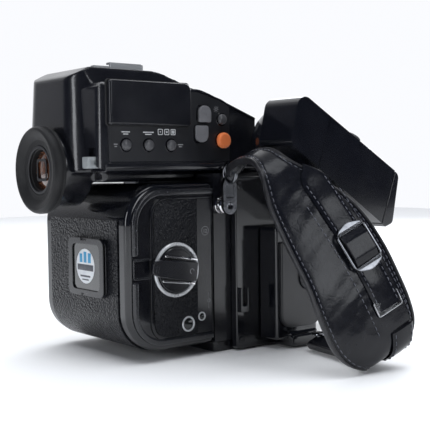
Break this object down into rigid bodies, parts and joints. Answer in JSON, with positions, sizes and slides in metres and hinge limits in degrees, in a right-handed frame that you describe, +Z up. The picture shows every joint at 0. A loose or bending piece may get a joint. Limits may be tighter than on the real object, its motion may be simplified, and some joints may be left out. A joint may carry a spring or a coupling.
{
  "type": "medium format reflex camera",
  "caption": "Modular medium-format reflex camera with roll-film magazine, metering prism finder, lens and a side motor grip with a leather hand strap.",
  "frame": {"origin": "centre of the tripod socket mouth on the underside of the base plate", "axes": "+X camera's right, the winder side; +Y forward along the lens axis; +Z up"},
  "size_m": [0.1952, 0.2025, 0.1631],
  "materials": {
    "black_shell": "satin gloss",
    "black_metal": "semi gloss paint",
    "black_leather": "pebbled",
    "chrome": "polished",
    "steel": "brushed",
    "shoe_metal": "satin",
    "grip_rubber": "matt",
    "clear_glass": "coated",
    "mirror": "polished",
    "black_gloss": "gloss",
    "dark_grey": "satin",
    "mid_grey": "satin",
    "orange": "satin",
    "card": "printed",
    "cell_jacket": "printed jacket"
  },
  "bodies": {
    "camera": {"body_shell": "black_shell", "body_leather": "black_leather", "base_plate": "black_metal", "tripod_bush": "chrome", "front_plate": "black_metal", "lens_mount_ring": "chrome", "focusing_screen": "clear_glass", "strap_lugs": "chrome", "magazine_shell": "black_metal", "magazine_leather": "black_leather", "side_trim": "black_metal", "memo_holder": "black_metal", "magazine_rings": "chrome", "finder_housing": "black_shell", "finder_panel": "black_shell", "lcd_cover": "black_shell", "prism": "clear_glass", "accessory_shoe": "shoe_metal", "roof_plate": "black_shell", "lens_barrel": "black_shell", "lens_elements": "clear_glass", "winder_plate": "black_shell", "winder_housing": "black_shell", "side_cover": "black_gloss", "grip_beam": "black_shell", "grip_top": "black_shell", "hand_strap": "black_leather", "strap_hardware": "chrome"},
    "mirror": {"mirror_frame": "black_metal", "mirror_glass": "mirror"},
    "upper_flap_body": {"upper_flap": "black_metal"},
    "lower_flap_body": {"lower_flap": "black_metal"},
    "release_button": {"body_release": "chrome"},
    "lens_catch": {"lens_release": "chrome"},
    "crank": {"crank_hub": "black_metal"},
    "crank_handle": {"crank_arm": "black_gloss"},
    "magazine_catch": {"magazine_latch": "chrome"},
    "slide": {"dark_slide": "steel"},
    "insert": {"film_insert": "black_metal"},
    "supply": {"supply_spool": "black_gloss"},
    "takeup": {"takeup_spool": "black_gloss"},
    "key": {"insert_key": "chrome"},
    "card_body": {"memo_card": "card"},
    "left_key": {"left_button": "dark_grey"},
    "middle_key": {"middle_button": "dark_grey"},
    "right_key": {"right_button": "dark_grey"},
    "up_key": {"rocker_up": "mid_grey"},
    "down_key": {"rocker_down": "mid_grey"},
    "light_key": {"light_button": "dark_grey"},
    "power_key": {"power_button": "orange"},
    "finder_catch": {"finder_latch": "mid_grey"},
    "eyepiece": {"eyecup": "grip_rubber", "eyepiece_lens": "clear_glass"},
    "focus": {"focus_ring": "grip_rubber"},
    "aperture": {"aperture_ring": "grip_rubber"},
    "shutter": {"shutter_ring": "grip_rubber"},
    "cassette": {"battery_cassette": "black_shell", "battery_cells": "cell_jacket"},
    "release_cap": {"winder_release": "chrome"},
    "dial": {"mode_dial": "black_metal"}
  },
  "joints": [
    {"name": "crank_spin", "type": "hinge", "parent": "camera", "child": "crank", "pos_m": [0.044, -0.0617, 0.0492], "axis": [1, 0, 0], "continuous": true},
    {"name": "crank_fold", "type": "hinge", "parent": "crank", "child": "crank_handle", "pos_m": [0.0483, -0.04982, 0.04753], "axis": [0, 0.1392, 0.9903], "range_deg": [0, 110]},
    {"name": "mirror_swing", "type": "hinge", "parent": "camera", "child": "mirror", "pos_m": [0, -0.0294, 0.0845], "axis": [1, 0, 0], "range_deg": [0, 44]},
    {"name": "upper_flap_swing", "type": "hinge", "parent": "camera", "child": "upper_flap_body", "pos_m": [0, -0.0308, 0.0782], "axis": [1, 0, 0], "range_deg": [0, 88]},
    {"name": "lower_flap_swing", "type": "hinge", "parent": "camera", "child": "lower_flap_body", "pos_m": [0, -0.0308, 0.0238], "axis": [1, 0, 0], "range_deg": [-88, 0]},
    {"name": "shutter_release_press", "type": "slide", "parent": "camera", "child": "release_button", "axis": [0, -1, 0], "range_m": [0, 0.0012], "stiffness_N_per_m": 300},
    {"name": "lens_release_press", "type": "slide", "parent": "camera", "child": "lens_catch", "axis": [0, -1, 0], "range_m": [0, 0.0006], "stiffness_N_per_m": 300},
    {"name": "magazine_latch_slide", "type": "slide", "parent": "camera", "child": "magazine_catch", "axis": [0, 1, 0], "range_m": [0, 0.003]},
    {"name": "dark_slide_pull", "type": "slide", "parent": "camera", "child": "slide", "axis": [-1, 0, 0], "range_m": [0, 0.072]},
    {"name": "insert_pull", "type": "slide", "parent": "camera", "child": "insert", "axis": [-1, 0, 0], "range_m": [0, 0.08]},
    {"name": "insert_key_turn", "type": "hinge", "parent": "insert", "child": "key", "pos_m": [-0.0453, -0.062, 0.051], "axis": [1, 0, 0], "range_deg": [0, 90]},
    {"name": "supply_spool_spin", "type": "hinge", "parent": "insert", "child": "supply", "pos_m": [0, -0.073, 0.027], "axis": [1, 0, 0], "continuous": true},
    {"name": "takeup_spool_spin", "type": "hinge", "parent": "insert", "child": "takeup", "pos_m": [0, -0.073, 0.075], "axis": [1, 0, 0], "continuous": true},
    {"name": "memo_card_slide", "type": "slide", "parent": "camera", "child": "card_body", "axis": [1, 0, 0], "range_m": [0, 0.032]},
    {"name": "left_button_press", "type": "slide", "parent": "camera", "child": "left_key", "axis": [-1, 0, 0], "range_m": [0, 0.0005], "stiffness_N_per_m": 300},
    {"name": "middle_button_press", "type": "slide", "parent": "camera", "child": "middle_key", "axis": [-1, 0, 0], "range_m": [0, 0.0005], "stiffness_N_per_m": 300},
    {"name": "right_button_press", "type": "slide", "parent": "camera", "child": "right_key", "axis": [-1, 0, 0], "range_m": [0, 0.0005], "stiffness_N_per_m": 300},
    {"name": "up_button_press", "type": "slide", "parent": "camera", "child": "up_key", "axis": [-1, 0, 0], "range_m": [0, 0.0005], "stiffness_N_per_m": 300},
    {"name": "down_button_press", "type": "slide", "parent": "camera", "child": "down_key", "axis": [-1, 0, 0], "range_m": [0, 0.0005], "stiffness_N_per_m": 300},
    {"name": "light_button_press", "type": "slide", "parent": "camera", "child": "light_key", "axis": [-1, 0, 0], "range_m": [0, 0.0005], "stiffness_N_per_m": 300},
    {"name": "power_button_press", "type": "slide", "parent": "camera", "child": "power_key", "axis": [-1, 0, 0], "range_m": [0, 0.0006], "stiffness_N_per_m": 300},
    {"name": "finder_latch_slide", "type": "slide", "parent": "camera", "child": "finder_catch", "axis": [0, 0, 1], "range_m": [0, 0.003]},
    {"name": "dioptre_turn", "type": "hinge", "parent": "camera", "child": "eyepiece", "pos_m": [0, -0.115, 0.104], "axis": [0, 1, 0], "range_deg": [-120, 120]},
    {"name": "focus_turn", "type": "hinge", "parent": "camera", "child": "focus", "pos_m": [0, 0.0655, 0.051], "axis": [0, 1, 0], "range_deg": [-150, 150]},
    {"name": "aperture_turn", "type": "hinge", "parent": "camera", "child": "aperture", "pos_m": [0, 0.0505, 0.051], "axis": [0, 1, 0], "range_deg": [-45, 45]},
    {"name": "shutter_speed_turn", "type": "hinge", "parent": "camera", "child": "shutter", "pos_m": [0, 0.0396, 0.051], "axis": [0, 1, 0], "range_deg": [-60, 60]},
    {"name": "battery_cassette_pull", "type": "slide", "parent": "camera", "child": "cassette", "axis": [0, 0.8572, -0.515], "range_m": [0, 0.058]},
    {"name": "winder_release_press", "type": "slide", "parent": "camera", "child": "release_cap", "axis": [0, -0.515, -0.8572], "range_m": [0, 0.0008], "stiffness_N_per_m": 300},
    {"name": "mode_dial_turn", "type": "hinge", "parent": "camera", "child": "dial", "pos_m": [0.089, 0.0269, 0.11869], "axis": [0, 0.515, 0.8572], "range_deg": [-90, 90]}
  ],
  "couplings": [
    {"joint": "upper_flap_swing", "follows": "mirror_swing", "ratio": 2},
    {"joint": "lower_flap_swing", "follows": "mirror_swing", "ratio": -2},
    {"joint": "takeup_spool_spin", "follows": "crank_spin", "ratio": 1},
    {"joint": "supply_spool_spin", "follows": "crank_spin", "ratio": 1}
  ]
}
